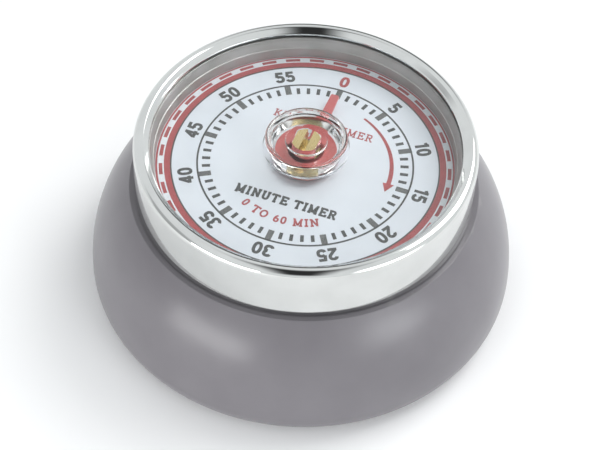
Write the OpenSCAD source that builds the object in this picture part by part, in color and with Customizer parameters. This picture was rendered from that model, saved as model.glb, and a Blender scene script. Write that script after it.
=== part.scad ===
// Round wind-up sixty-minute kitchen timer with a magnetic back, millimetres.
// The origin is the centre of the underside and +Z is the axis of the dial.

/* [Case] */
// Largest diameter of the grey base
case_d = 75; // [74.6:0.1:75.4]
// Height of the widest ring above the underside
belly_z = 4.5; // [4.4:0.1:4.8]
// Radius of the long curve of the flank
flank_r = 27; // [26.6:0.1:27.4]
// Radius of the short curve under the widest ring
foot_r = 5.2; // [5:0.1:5.4]
// Height at which the flank meets the chrome rim
shoulder_z = 22.9; // [22.7:0.1:23]
// Wall thickness of the base
wall = 1.2; // [1.1:0.1:1.4]

/* [Dial and rim] */
// Height of the dial's face
dial_z = 27.4; // [27.3:0.1:27.6]
// Diameter of the visible dial
dial_d = 51.4; // [51:0.1:51.8]
// Outer diameter of the chrome rim at its bottom edge
rim_d = 58.8; // [58.6:0.1:59]
// Top of the chrome rim
rim_z = 33.5; // [33.4:0.1:33.6]
// Opening of the chrome rim
rim_opening_d = 53.2; // [52.8:0.1:53.6]
// Thickness of the lens
lens_t = 1; // [0.9:0.05:1]
// Hole in the middle of the lens
lens_hole_d = 14.6; // [14.4:0.1:15]

/* [Knob and pointer] */
// Diameter of the knob at its top
knob_d = 14.1; // [13.8:0.1:14.2]
// Top of the knob
knob_z = 34.2; // [34:0.1:34.4]
// Length of the pointer from the axis to its tip
pointer_l = 15.4; // [15:0.1:16]
// Diameter of the brass setting shaft
shaft_d = 5; // [4.8:0.1:5]
// Width of the slot that splits the shaft's top
shaft_slot = 1.1; // [1:0.1:1.4]
// Width across the two flats that key the knob
shaft_flats = 4.1; // [4:0.1:4.3]

/* [Movement] */
// Underside of the back plate
back_plate_z = 11.5; // [11.4:0.1:11.6]
// Underside of the front plate
front_plate_z = 23.5; // [23.4:0.1:23.6]
// Thickness of both plates
plate_t = 1; // [0.9:0.05:1]
// Radius of both plates
plate_r = 23; // [22.8:0.1:23]
// Module of the main wheel and the pinions it drives
main_module = 0.4; // [0.39:0.005:0.4]
// Module of the second wheel and the third pinion
second_module = 0.35; // [0.345:0.005:0.35]
// Module of the third wheel and the escape pinion
third_module = 0.3; // [0.295:0.005:0.3]
// Number of turns of the mainspring
mainspring_turns = 9; // [7:1:9]

/* [Strike] */
// Inner radius of the gong's wall
gong_r = 26; // [25.98:0.01:26.1]
// Top of the gong's rim
gong_rim_z = 9.8; // [9.4:0.1:10]

/* [Hidden] */

$fn = 96;
fine = 0.01;                       // overrun of a cutter past a face it cuts through

// Case
case_r = case_d / 2;
neck_r = 28.7;                     // outside of the neck that the chrome rim covers
neck_in_r = 27.7;                  // inside of the neck, which holds the dial
dial_t = 0.5;
ledge_z = dial_z - dial_t;         // the ledge that carries the dial
ledge_t = 1.5;
ledge_in_r = 22.5;
lens_top_z = rim_z - 1.2;
lens_z = lens_top_z - lens_t;
neck_top_z = lens_z - 0.9;
cover_z = 1;                       // underside of the back cover
cover_t = 1.2;
cover_r = 34.1;
flange_in_r = 33;                  // the flange that the back cover sits against
cover_screw_r = 30;                // pitch radius of the back cover's screws
cover_screw_dirs = [90, 210, 330];
ear_r = 24.6;                      // pitch radius of the movement's mounting screws
ear_dirs = [30, 150, 270];
magnet_r = 6;
magnet_x = 17;
magnet_top_z = 2.2;

// Shaft and knob
shaft_r = shaft_d / 2;
run = 0.05;                        // radial running clearance of a pivot or shaft
pointer_t = 0.5;
knob_base_z = dial_z + 1.8;
shaft_top_z = knob_z - 0.7;

// Movement: heights
gap_lo = back_plate_z + plate_t;
gap_hi = front_plate_z;
endshake = 0.1;
pivot_r = 0.5;
main_wheel_z = gap_lo + 0.5;
ratchet_z = main_wheel_z + 1.05;
mainspring_z = 15.3;
mainspring_h = 5;
second_wheel_z = gap_hi - 1;
third_wheel_z = gap_hi - 2.8;
escape_wheel_z = 17;
lever_z = 17.9;
balance_z = 19;
hairspring_z = 20.2;
star_z = 21.2;
cam_z = front_plate_z + plate_t + 0.6;
cam_t = 0.8;

// Movement: teeth
main_teeth = 60;
second_teeth = 50;
third_teeth = 48;
pinion_teeth = 10;
escape_pinion_teeth = 8;
escape_teeth = 15;
pressure = 20;

// Movement: places on the plates
function polar(r, a) = [r * cos(a), r * sin(a)];
function spacing(a, b, m) = (a + b) * m / 2;
second_dir = 200;
second_to_third_dir = -57;
third_to_escape_dir = -16.5;
escape_to_pallet_dir = 8;
pallet_to_balance_dir = 33;
strike_dir = 130;
pallet_reach = 6.2;
balance_reach = 9;
impulse_r = 2.2;
at_second = polar(spacing(main_teeth, pinion_teeth, main_module), second_dir);
at_third = at_second + polar(spacing(second_teeth, pinion_teeth, second_module), second_to_third_dir);
at_escape = at_third
    + polar(spacing(third_teeth, escape_pinion_teeth, third_module), third_to_escape_dir);
at_pallet = at_escape + polar(pallet_reach, escape_to_pallet_dir);
at_balance = at_pallet + polar(balance_reach, pallet_to_balance_dir);
at_strike = polar(spacing(main_teeth, pinion_teeth, main_module), strike_dir);
pivots = [at_second, at_third, at_escape, at_pallet, at_balance, at_strike];
pillar_places = [for (a = [0, 60, 135, 283]) polar(21, a)];
spring_post_at = polar(13.6, 20);
spring_post_r = 0.9;

// Strike: the hammer's arbor, and the trip lever whose nose stands beside the cam
cam_r = 6;
trip_tip_r = 0.7;
nose_l = 1.3;                      // how far the lever's nose stands in towards the cam
hammer_dir = 105;
hammer_at_r = 19;
at_hammer = polar(hammer_at_r, hammer_dir);
nose_r = cam_r + trip_tip_r + 0.3;
trip_dir = hammer_dir - acos((nose_r + nose_l) / hammer_at_r);
at_trip = polar(nose_r + nose_l, trip_dir);
hammer_arbor_r = 1;
hammer_head_r = 1.6;
at_head = polar(23, 170);
arm_z = 8.8;
arm_t = 0.8;

// ---- outlines ----

// Points along an arc in the plane, from angle a to angle b
function arc(centre, r, a, b, steps = 16) =
    [for (i = [0:steps]) centre + polar(r, a + (b - a) * i / steps)];

// The outside of the base from the underside to the shoulder, moved in by inset
function flank(inset, z_lo, z_hi) =
    let (foot = foot_r - inset, side = flank_r - inset)
    concat(
        arc([case_r - foot_r, belly_z], foot, asin((z_lo - belly_z) / foot), 0, 10),
        arc([case_r - flank_r, belly_z], side, 3, asin((z_hi - belly_z) / side), 20)
    );

function backwards(points) = [for (i = [len(points) - 1:-1:0]) points[i]];

// Involute angle in degrees, and half the angle that a tooth covers at radius r
function involute(a) = tan(a) * 180 / PI - a;
function half_tooth(r, base_r, half_at_pitch) =
    half_at_pitch + involute(pressure) - involute(acos(min(1, base_r / r)));

// Outline of a spur gear with one tooth centred on the angle phase
function gear_outline(teeth, m, phase) =
    let (
        pitch_r = teeth * m / 2,
        base_r = pitch_r * cos(pressure),
        radii = [pitch_r - 1.2 * m, pitch_r - 0.4 * m, pitch_r + 0.2 * m, pitch_r + 0.75 * m],
        half = 0.4 * 180 / teeth
    )
    [for (k = [0:teeth - 1], side = [-1, 1], i = [0:3])
        let (r = radii[side < 0 ? i : 3 - i])
        polar(r, phase + k * 360 / teeth + side * half_tooth(r, base_r, half))];

// Outline of a wheel of leaning teeth: a steep flank, a tip and a long slope
function saw_outline(teeth, tip_r, root_r, phase, tip = 2, slope = 0.6) =
    [for (k = [0:teeth - 1], p = [[root_r, -tip / 2], [tip_r, -tip / 2], [tip_r, tip / 2],
                                  [root_r, slope * 360 / teeth]])
        polar(p[0], phase + k * 360 / teeth + p[1])];

// Phase of a driven pinion so that its teeth stand in the driver's gaps
function fraction(x) = x - floor(x);
function mesh_phase(dir, driver_phase, driver_teeth, driven_teeth) =
    dir + 180 + (fraction((dir - driver_phase) * driver_teeth / 360) + 0.5) * 360 / driven_teeth;

// Outline of a spiral strip of thickness t; the last part of a turn swings out by tail
function spiral_r(i, steps, r0, pitch, turns, tail) =
    r0 + pitch * turns * i / steps + tail * pow(max(0, i / steps - 1 + 0.4 / turns) * turns / 0.4, 2);
function spiral_outline(r0, pitch, turns, t, end_dir, tail, per_turn = 30) =
    let (steps = ceil(turns * per_turn))
    concat(
        [for (i = [0:steps])
            polar(spiral_r(i, steps, r0, pitch, turns, tail) - t / 2,
                  end_dir + 360 * turns * (i / steps - 1))],
        [for (i = [steps:-1:0])
            polar(spiral_r(i, steps, r0, pitch, turns, tail) + t / 2,
                  end_dir + 360 * turns * (i / steps - 1))]
    );

// ---- building blocks ----

// Round bar with two flats, which the knob's bore and the shaft's top share
module keyed_bar(z, h) {
    translate([0, 0, z]) intersection() {
        cylinder(r = shaft_r, h = h);
        translate([-shaft_flats / 2, -shaft_r, -fine]) cube([shaft_flats, shaft_d, h + 2 * fine]);
    }
}

module at(place, z = 0) {
    translate([place[0], place[1], z]) children();
}

module ring(outer_r, inner_r, z, h) {
    translate([0, 0, z]) difference() {
        cylinder(r = outer_r, h = h);
        translate([0, 0, -fine]) cylinder(r = inner_r, h = h + 2 * fine);
    }
}

// Flat bar with round ends, from one place to another
module bar(from, to, width, z, h) {
    run_to = to - from;
    union() {
        at(from, z) rotate([0, 0, atan2(run_to[1], run_to[0])])
            translate([0, -width / 2, 0]) cube([norm(run_to), width, h]);
        for (p = [from, to]) at(p, z) cylinder(d = width, h = h, $fn = 32);
    }
}

// Slotted screw whose head lies under the height z and whose shank runs up from it
module screw(shank_r, shank_l, head_r, head_h, z) {
    difference() {
        union() {
            translate([0, 0, z - head_h]) cylinder(r = head_r, h = head_h, $fn = 48);
            translate([0, 0, z - fine]) cylinder(r = shank_r, h = shank_l + fine, $fn = 32);
        }
        translate([-head_r - 1, -0.25, z - head_h - fine]) cube([2 * head_r + 2, 0.5, 0.4 + fine]);
    }
}

// Arbor between the plates with a pivot at each end
module arbor(r, pivot = pivot_r) {
    translate([0, 0, gap_lo + endshake]) cylinder(r = r, h = gap_hi - gap_lo - 2 * endshake, $fn = 32);
    translate([0, 0, back_plate_z + endshake])
        cylinder(r = pivot, h = gap_hi - gap_lo + 2 * plate_t - 2 * endshake, $fn = 32);
}

module pinion(teeth, m, z, h, phase) {
    translate([0, 0, z]) linear_extrude(h) polygon(gear_outline(teeth, m, phase));
}

// Toothed wheel with a bore and a ring of round openings
module wheel(teeth, m, z, t, bore_r, openings, opening_r, openings_at) {
    difference() {
        translate([0, 0, z]) linear_extrude(t) polygon(gear_outline(teeth, m, 0));
        translate([0, 0, z - fine]) cylinder(r = bore_r, h = t + 2 * fine, $fn = 48);
        for (k = [0:1:openings - 1])
            at(polar(openings_at, (k + 0.5) * 360 / openings), z - fine)
                cylinder(r = opening_r, h = t + 2 * fine, $fn = 48);
    }
}

// Holes for the pivots, the hammer arbor and the pillars in one plate
module plate_holes(z) {
    depth = plate_t + 2 * fine;
    for (p = pivots) at(p, z - fine) cylinder(r = pivot_r + run, h = depth, $fn = 32);
    for (p = pillar_places) at(p, z - fine) cylinder(r = 1, h = depth, $fn = 32);
    at(at_hammer, z - fine) cylinder(r = hammer_arbor_r + run, h = depth, $fn = 32);
    at(spring_post_at, z - fine) cylinder(r = spring_post_r, h = depth, $fn = 32);
}

// ---- case ----

// Solid space inside the base, for trimming its ribs
module inside_of_base() {
    top_z = shoulder_z - 2;
    rotate_extrude() polygon(concat([[0, 0.5]], flank(wall / 2, 0.6, top_z), [[0, top_z]]));
}

module base_shell() {
    outer = flank(0, 0, shoulder_z);
    inner = backwards(flank(wall, cover_z + cover_t + 1, shoulder_z - wall));
    color([0.53, 0.52, 0.54]) difference() {
        union() {
            rotate_extrude($fn = 128) polygon(concat(
                outer,
                [[neck_r, shoulder_z], [neck_r, neck_top_z], [neck_in_r, neck_top_z],
                 [neck_in_r, ledge_z], [ledge_in_r, ledge_z], [ledge_in_r, ledge_z - ledge_t],
                 [neck_in_r, ledge_z - ledge_t], [neck_in_r, shoulder_z - wall]],
                inner,
                [[flange_in_r, cover_z + cover_t + 1], [flange_in_r, cover_z + cover_t],
                 [cover_r + 0.1, cover_z + cover_t], [cover_r + 0.1, 0]]
            ));
            for (a = cover_screw_dirs) rotate([0, 0, a]) {
                translate([cover_screw_r, 0, cover_z + cover_t]) cylinder(r = 2.4, h = 12, $fn = 48);
                intersection() {
                    translate([cover_screw_r + 1.8, -0.8, cover_z + cover_t]) cube([10, 1.6, 12]);
                    inside_of_base();
                }
            }
            for (a = ear_dirs) at(polar(ear_r, a), front_plate_z + plate_t)
                cylinder(r = 2.2, h = ledge_z - front_plate_z - plate_t - 0.1, $fn = 48);
        }
        for (a = cover_screw_dirs) at(polar(cover_screw_r, a), 0) cylinder(r = 0.9, h = 11, $fn = 32);
        for (a = ear_dirs) at(polar(ear_r, a), front_plate_z)
            cylinder(r = 0.9, h = ledge_z - front_plate_z - 0.4, $fn = 32);
    }
}

module bezel() {
    wall_in_r = neck_r + 0.05;
    side_r = rim_d / 2;
    lip_r = rim_opening_d / 2;
    corner_r = 1.3;
    corner = [side_r - 0.1 - corner_r, rim_z - corner_r];
    color([0.82, 0.83, 0.84]) rotate_extrude($fn = 128) polygon(concat(
        [[wall_in_r, shoulder_z + 0.35], [side_r - 0.15, shoulder_z + 0.3], [side_r, shoulder_z + 0.5]],
        arc(corner, corner_r, 0, 115, 12),
        [[lip_r + 0.2, rim_z - 0.75], [lip_r, rim_z - 0.9], [lip_r, lens_top_z], [wall_in_r, lens_top_z]]
    ));
}

module lens() {
    color([0.9, 0.95, 0.95, 0.3]) ring(neck_r - 0.1, lens_hole_d / 2, lens_z, lens_t);
}

module lens_gasket() {
    color([0.15, 0.15, 0.15]) ring(neck_r, neck_in_r, neck_top_z, lens_z - neck_top_z);
}

// Metal ring between the dial's edge and the lens, with a step part way up its inner wall
module reflector_ring() {
    lo = dial_d / 2;
    hi = rim_opening_d / 2 - 0.1;
    step_z = dial_z + 1.9;
    color([0.6, 0.6, 0.59]) rotate_extrude($fn = 128) polygon([
        [lo, dial_z], [lo + 0.9, dial_z], [hi + 0.5, lens_z - 0.6],
        [neck_in_r - 0.1, lens_z - 0.6], [neck_in_r - 0.1, lens_z], [hi, lens_z],
        [lo + 0.3, step_z + 0.1], [lo + 0.15, step_z]
    ]);
}

module dial_plate() {
    color([0.88, 0.91, 0.94]) ring(neck_in_r - 0.1, 3.4, ledge_z, dial_t);
}

module back_cover() {
    slots = 18;
    color([0.2, 0.2, 0.21]) difference() {
        union() {
            translate([0, 0, cover_z]) cylinder(r = cover_r, h = cover_t);
            for (x = [-magnet_x, magnet_x])
                translate([x, 0, cover_z]) cylinder(r = magnet_r + 1, h = magnet_top_z - cover_z + 0.8);
        }
        for (x = [-magnet_x, magnet_x])
            translate([x, 0, cover_z - fine]) cylinder(r = magnet_r, h = magnet_top_z - cover_z + fine);
        for (a = cover_screw_dirs)
            at(polar(cover_screw_r, a), cover_z - fine) cylinder(r = 1.1, h = cover_t + 2 * fine, $fn = 32);
        for (k = [0:slots - 1])
            rotate([0, 0, (k + 0.5) * 360 / slots])
                translate([25.5, -0.7, cover_z - fine]) cube([5, 1.4, cover_t + 2 * fine]);
        translate([0, 0, cover_z - fine]) cylinder(r = 1.5, h = cover_t + 2 * fine, $fn = 48);
    }
}

module cover_screws() {
    color([0.7, 0.7, 0.72]) for (a = cover_screw_dirs)
        at(polar(cover_screw_r, a)) screw(0.9, 9, 1.9, 0.7, cover_z);
}

module magnets() {
    color([0.25, 0.25, 0.27]) for (x = [-magnet_x, magnet_x])
        translate([x, 0, 0]) cylinder(r = magnet_r - 0.05, h = magnet_top_z);
}

// ---- gong ----

gong_floor_z = cover_z + cover_t + 1.7;
gong_t = 0.8;

module gong_post() {
    color([0.72, 0.72, 0.7]) {
        translate([0, 0, cover_z]) cylinder(r = 1.5, h = gong_floor_z + gong_t + 2 - cover_z, $fn = 48);
        translate([0, 0, cover_z + cover_t])
            cylinder(r = 3, h = gong_floor_z - cover_z - cover_t, $fn = 48);
    }
}

module gong() {
    curve_r = 3;
    bend = [gong_r - curve_r + gong_t, gong_floor_z + curve_r];
    color([0.78, 0.78, 0.76]) rotate_extrude() polygon(concat(
        [[1.5, gong_floor_z]],
        arc(bend, curve_r, -90, 0, 8),
        [[gong_r + gong_t, gong_rim_z], [gong_r, gong_rim_z]],
        arc(bend, curve_r - gong_t, 0, -90, 8),
        [[1.5, gong_floor_z + gong_t]]
    ));
}

module gong_nut() {
    z = gong_floor_z + gong_t;
    color([0.75, 0.7, 0.5]) difference() {
        translate([0, 0, z]) cylinder(r = 3, h = 1.5, $fn = 6);
        translate([0, 0, z - fine]) cylinder(r = 1.5, h = 1.5 + 2 * fine, $fn = 48);
    }
}

// ---- frame of the movement ----

module front_plate() {
    color([0.83, 0.72, 0.42]) difference() {
        union() {
            translate([0, 0, front_plate_z]) cylinder(r = plate_r, h = plate_t);
            for (a = ear_dirs) at(polar(ear_r, a), front_plate_z) cylinder(r = 2.4, h = plate_t, $fn = 48);
        }
        plate_holes(front_plate_z);
        translate([0, 0, front_plate_z - fine]) cylinder(r = 3.6, h = plate_t + 2 * fine);
        for (a = ear_dirs)
            at(polar(ear_r, a), front_plate_z - fine) cylinder(r = 1, h = plate_t + 2 * fine, $fn = 32);
        for (p = [polar(11, 65), polar(11, 95), polar(11, 330), polar(12, 300)])
            at(p, front_plate_z - fine) cylinder(r = 2.5, h = plate_t + 2 * fine);
    }
}

module back_plate() {
    color([0.83, 0.72, 0.42]) difference() {
        translate([0, 0, back_plate_z]) cylinder(r = plate_r, h = plate_t);
        plate_holes(back_plate_z);
        translate([0, 0, back_plate_z - fine]) cylinder(r = 1.5 + run, h = plate_t + 2 * fine, $fn = 48);
        for (p = [polar(12, 40), polar(12, 80), polar(11, 320), polar(10, 240)])
            at(p, back_plate_z - fine) cylinder(r = 3, h = plate_t + 2 * fine);
    }
}

nut_h = 1.5;

module pillars() {
    color([0.8, 0.8, 0.8]) for (p = pillar_places) at(p) {
        translate([0, 0, gap_lo]) cylinder(r = 1.8, h = gap_hi - gap_lo, $fn = 48);
        translate([0, 0, back_plate_z - nut_h - 0.1])
            cylinder(r = 1, h = gap_hi + plate_t + 0.3 - back_plate_z + nut_h + 0.1, $fn = 32);
    }
}

module pillar_nuts() {
    color([0.75, 0.75, 0.75]) for (p = pillar_places) at(p, back_plate_z - nut_h) difference() {
        cylinder(r = 2, h = nut_h, $fn = 6);
        translate([0, 0, -fine]) cylinder(r = 1, h = nut_h + 2 * fine, $fn = 32);
    }
}

module movement_screws() {
    color([0.75, 0.75, 0.75]) for (a = ear_dirs)
        at(polar(ear_r, a)) screw(0.9, 2.9, 1.8, 0.8, front_plate_z);
}

module shaft_bush() {
    color([0.85, 0.7, 0.35]) union() {
        ring(3.6, shaft_r + run, front_plate_z, plate_t + 0.4);
        ring(4.2, shaft_r + run, front_plate_z - 0.4, 0.4);
    }
}

module spring_post() {
    color([0.75, 0.75, 0.75]) at(spring_post_at, back_plate_z)
        cylinder(r = spring_post_r, h = front_plate_z + plate_t - back_plate_z, $fn = 32);
}

module mainspring() {
    first_r = shaft_r + 0.35;
    pitch = 7.6 / mainspring_turns;
    tail = norm(spring_post_at) - spring_post_r - 0.2 - first_r - 7.6;
    color([0.45, 0.47, 0.52]) translate([0, 0, mainspring_z]) linear_extrude(mainspring_h)
        polygon(spiral_outline(first_r, pitch, mainspring_turns, 0.3, 20, tail));
}

hairspring_out_r = 3.3;

module hairspring() {
    color([0.5, 0.52, 0.6]) at(at_balance, hairspring_z) linear_extrude(0.5)
        polygon(spiral_outline(0.65, 0.3, 8, 0.08, -60, hairspring_out_r - 3.4, 24));
}

module hairspring_stud() {
    color([0.8, 0.75, 0.5]) at(at_balance + polar(hairspring_out_r + 0.1, -60), hairspring_z - 0.2)
        cylinder(r = 0.3, h = gap_hi - hairspring_z + 0.2, $fn = 32);
}

// ---- knob, shaft and main wheel ----

// Solid clear knob, wider at its top, with a shallow hollow in which the shaft's end shows
module knob() {
    top_r = knob_d / 2;
    base_r = 5.75;
    boss_r = shaft_r + 1;
    boss_z = knob_z - 0.6;
    floor_z = knob_z - 1;
    color([0.9, 0.92, 0.92, 0.4]) difference() {
        rotate_extrude() polygon(concat(
            [[0, knob_base_z], [base_r - 0.2, knob_base_z], [base_r, knob_base_z + 0.2]],
            arc([top_r - 0.35, knob_z - 0.35], 0.35, -10, 180, 8),
            [[top_r - 1, floor_z + 0.2], [top_r - 1.3, floor_z], [boss_r + 0.15, floor_z],
             [boss_r, floor_z + 0.15]],
            arc([boss_r - 0.2, boss_z - 0.2], 0.2, 0, 90, 5),
            [[0, boss_z]]
        ));
        keyed_bar(knob_base_z - fine, knob_z - knob_base_z);
    }
}

module pointer() {
    hub_r = 5.3;
    z = knob_base_z - pointer_t;
    right_side = [[2.4, hub_r - 0.7], [1.6, hub_r + 0.5], [1.15, hub_r + 1.7], [0.88, hub_r + 3.5],
                  [0.74, pointer_l - 0.2], [0.55, pointer_l]];
    color([0.75, 0.1, 0.12]) difference() {
        union() {
            translate([0, 0, z]) cylinder(r = hub_r, h = pointer_t);
            translate([0, 0, z]) linear_extrude(pointer_t)
                polygon(concat(right_side, [for (p = backwards(right_side)) [-p[0], p[1]]]));
        }
        translate([0, 0, z - fine]) cylinder(r = shaft_r, h = pointer_t + 2 * fine);
    }
}

module main_arbor() {
    pivot_foot_z = back_plate_z - 1.3;
    groove_z = back_plate_z - 0.8;
    color([0.8, 0.62, 0.3]) difference() {
        union() {
            translate([0, 0, gap_lo + endshake]) cylinder(r = shaft_r, h = knob_base_z - gap_lo - endshake);
            keyed_bar(knob_base_z - 1, shaft_top_z - knob_base_z + 1);
            translate([0, 0, pivot_foot_z]) cylinder(r = 1.5, h = gap_lo + 1 - pivot_foot_z, $fn = 48);
        }
        translate([-shaft_slot / 2, -shaft_r - 1, knob_base_z + 1.6])
            cube([shaft_slot, 2 * shaft_r + 2, shaft_top_z]);
        ring(3, 1.2, groove_z, 0.5);
    }
}

module arbor_clip() {
    color([0.4, 0.4, 0.42]) translate([0, 0, back_plate_z - 0.8]) difference() {
        cylinder(r = 2.8, h = 0.5, $fn = 48);
        translate([0, 0, -fine]) cylinder(r = 1.2, h = 0.5 + 2 * fine, $fn = 48);
        translate([0, -0.9, -fine]) cube([4, 1.8, 0.5 + 2 * fine]);
    }
}

// Disc that holds the trip lever off until its notch comes round at zero
module trip_cam() {
    color([0.8, 0.8, 0.78]) difference() {
        translate([0, 0, cam_z]) cylinder(r = cam_r, h = cam_t);
        translate([0, 0, cam_z - fine]) cylinder(r = shaft_r, h = cam_t + 2 * fine);
        rotate([0, 0, trip_dir])
            translate([cam_r - 1.5, -1.4, cam_z - fine]) cube([4, 2.8, cam_t + 2 * fine]);
    }
}

ratchet_teeth = 20;
ratchet_r = 5;
ratchet_t = 0.7;
click_dir = 315;
click_pivot_r = 8.6;
at_click = polar(click_pivot_r, click_dir);

module ratchet_wheel() {
    color([0.6, 0.6, 0.62]) difference() {
        translate([0, 0, ratchet_z]) linear_extrude(ratchet_t)
            polygon(saw_outline(ratchet_teeth, ratchet_r, ratchet_r - 0.8, 0));
        translate([0, 0, ratchet_z - fine]) cylinder(r = shaft_r, h = ratchet_t + 2 * fine);
    }
}

module main_wheel() {
    color([0.83, 0.7, 0.4]) difference() {
        wheel(main_teeth, main_module, main_wheel_z, 1, shaft_r, 5, 1.5, 8.6);
        at(at_click, main_wheel_z - fine) cylinder(r = 0.6, h = 1 + 2 * fine, $fn = 32);
    }
}

module click_pawl() {
    beak = polar(ratchet_r + 0.4, click_dir + 24);
    run_to = beak - at_click;
    across = polar(1, atan2(run_to[1], run_to[0]) + 90);
    color([0.6, 0.6, 0.62]) difference() {
        union() {
            at(at_click, ratchet_z) cylinder(r = 1.1, h = ratchet_t, $fn = 48);
            translate([0, 0, ratchet_z]) linear_extrude(ratchet_t) polygon([
                at_click - 0.8 * across, beak - 0.25 * across,
                beak + 0.25 * across, at_click + 0.8 * across
            ]);
        }
        at(at_click, ratchet_z - fine) cylinder(r = 0.6, h = ratchet_t + 2 * fine, $fn = 32);
    }
}

module click_rivet() {
    color([0.7, 0.7, 0.7]) at(at_click) {
        translate([0, 0, main_wheel_z]) cylinder(r = 0.6, h = 1.75, $fn = 32);
        translate([0, 0, ratchet_z + ratchet_t]) cylinder(r = 1, h = 0.3, $fn = 32);
    }
}

module click_spring() {
    color([0.5, 0.5, 0.55]) translate([0, 0, main_wheel_z + 1]) linear_extrude(0.6)
        polygon(concat(arc([0, 0], 11.2, click_dir - 50, click_dir + 14, 20),
                       arc([0, 0], 10.9, click_dir + 14, click_dir - 50, 20)));
}

// ---- going train ----

module second_wheel() {
    color([0.83, 0.7, 0.4]) at(at_second)
        wheel(second_teeth, second_module, second_wheel_z, 0.6, 0.9, 5, 1.9, 5);
}

module second_arbor() {
    color([0.66, 0.67, 0.7]) at(at_second) {
        arbor(0.9);
        pinion(pinion_teeth, main_module, gap_lo + 0.3, 1.7,
               mesh_phase(second_dir, 0, main_teeth, pinion_teeth));
    }
}

module third_wheel() {
    color([0.83, 0.7, 0.4]) at(at_third)
        wheel(third_teeth, third_module, third_wheel_z, 0.5, 0.8, 5, 1.5, 4.1);
}

module third_arbor() {
    color([0.66, 0.67, 0.7]) at(at_third) {
        arbor(0.8);
        pinion(pinion_teeth, second_module, second_wheel_z - 0.25, 1.05,
               mesh_phase(second_to_third_dir, 0, second_teeth, pinion_teeth));
    }
}

escape_tip_r = 4;

module escape_wheel() {
    half_pitch = 180 / escape_teeth;
    color([0.83, 0.7, 0.4]) at(at_escape, escape_wheel_z) difference() {
        linear_extrude(0.6)
            polygon(saw_outline(escape_teeth, escape_tip_r, 3.1, escape_to_pallet_dir + half_pitch));
        translate([0, 0, -fine]) cylinder(r = 0.6, h = 0.6 + 2 * fine, $fn = 32);
        for (k = [0:4]) at(polar(1.8, k * 72), -fine) cylinder(r = 0.6, h = 0.6 + 2 * fine, $fn = 32);
    }
}

module escape_arbor() {
    color([0.66, 0.67, 0.7]) at(at_escape) {
        arbor(0.6, 0.45);
        pinion(escape_pinion_teeth, third_module, third_wheel_z - 0.3, 1.1,
               mesh_phase(third_to_escape_dir, 0, third_teeth, escape_pinion_teeth));
    }
}

// ---- escapement and balance ----

pin_r = 0.2;
pin_circle_r = escape_tip_r + 0.32;    // just clear of the teeth when the lever is centred
pin_places = [for (s = [-1, 1]) at_escape + polar(pin_circle_r, escape_to_pallet_dir + 30 * s)];
lever_t = 0.6;

// Corners of one arm of the lever, which runs from its hub in the direction dir
function arm_corners(dir, reach, half) =
    [for (p = [[1.2, -half], [reach, -half], [reach, half], [1.2, half]])
        at_pallet + polar(p[0], dir) + polar(p[1], dir + 90)];

module pallet_lever() {
    fork_reach = balance_reach - impulse_r;
    pins = [for (p = pin_places) p - at_pallet];
    pin_dirs = [for (p = pins) atan2(p[1], p[0])];
    color([0.75, 0.75, 0.73]) difference() {
        translate([0, 0, lever_z]) linear_extrude(lever_t) polygon(concat(
            arm_corners(pallet_to_balance_dir, fork_reach + 0.7, 0.75),
            arm_corners(pin_dirs[1], norm(pins[1]) + 0.45, 0.5),
            arm_corners(pin_dirs[0], norm(pins[0]) + 0.45, 0.5)
        ));
        at(at_pallet, lever_z - fine) cylinder(r = 0.6, h = lever_t + 2 * fine, $fn = 32);
        for (p = pin_places) at(p, lever_z - fine) cylinder(r = pin_r, h = lever_t + 2 * fine, $fn = 24);
        at(at_pallet, lever_z - fine) rotate([0, 0, pallet_to_balance_dir])
            translate([fork_reach - 0.55, -0.35, 0]) cube([3, 0.7, lever_t + 2 * fine]);
    }
}

module pallet_pins() {
    color([0.6, 0.62, 0.65]) for (p = pin_places) at(p, escape_wheel_z - 0.2)
        cylinder(r = pin_r, h = lever_z + lever_t - escape_wheel_z + 0.2, $fn = 24);
}

module pallet_arbor() {
    color([0.66, 0.67, 0.7]) at(at_pallet) arbor(0.6, 0.45);
}

balance_r = 5;
balance_t = 0.8;

module balance_wheel() {
    color([0.85, 0.72, 0.4]) at(at_balance) difference() {
        union() {
            ring(balance_r, balance_r - 0.9, balance_z, balance_t);
            for (a = [0, 60, 120])
                translate([0, 0, balance_z]) rotate([0, 0, pallet_to_balance_dir + a])
                    translate([-balance_r + 0.5, -0.4, 0]) cube([2 * balance_r - 1, 0.8, balance_t]);
            translate([0, 0, balance_z]) cylinder(r = 1.2, h = balance_t, $fn = 48);
        }
        translate([0, 0, balance_z - fine]) cylinder(r = 0.4, h = balance_t + 2 * fine, $fn = 32);
        at(polar(impulse_r, pallet_to_balance_dir + 180), balance_z - fine)
            cylinder(r = 0.25, h = balance_t + 2 * fine, $fn = 24);
    }
}

module balance_staff() {
    color([0.66, 0.67, 0.7]) at(at_balance) arbor(0.4, 0.35);
}

module impulse_pin() {
    color([0.6, 0.62, 0.65])
        at(at_balance + polar(impulse_r, pallet_to_balance_dir + 180), lever_z - 0.2)
            cylinder(r = 0.25, h = balance_z + balance_t - lever_z + 0.2, $fn = 24);
}

// ---- strike work ----

module strike_wheel() {
    color([0.66, 0.67, 0.7]) at(at_strike, star_z) difference() {
        linear_extrude(0.7) polygon(saw_outline(8, 3.4, 2.2, 0, 6));
        translate([0, 0, -fine]) cylinder(r = 0.9, h = 0.7 + 2 * fine, $fn = 32);
    }
}

module strike_arbor() {
    color([0.66, 0.67, 0.7]) at(at_strike) {
        arbor(0.9);
        pinion(pinion_teeth, main_module, gap_lo + 0.3, 1.7,
               mesh_phase(strike_dir, 0, main_teeth, pinion_teeth));
    }
}

module hammer_arbor() {
    color([0.66, 0.67, 0.7]) at(at_hammer, arm_z)
        cylinder(r = hammer_arbor_r, h = cam_z + cam_t - arm_z, $fn = 32);
}

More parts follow.
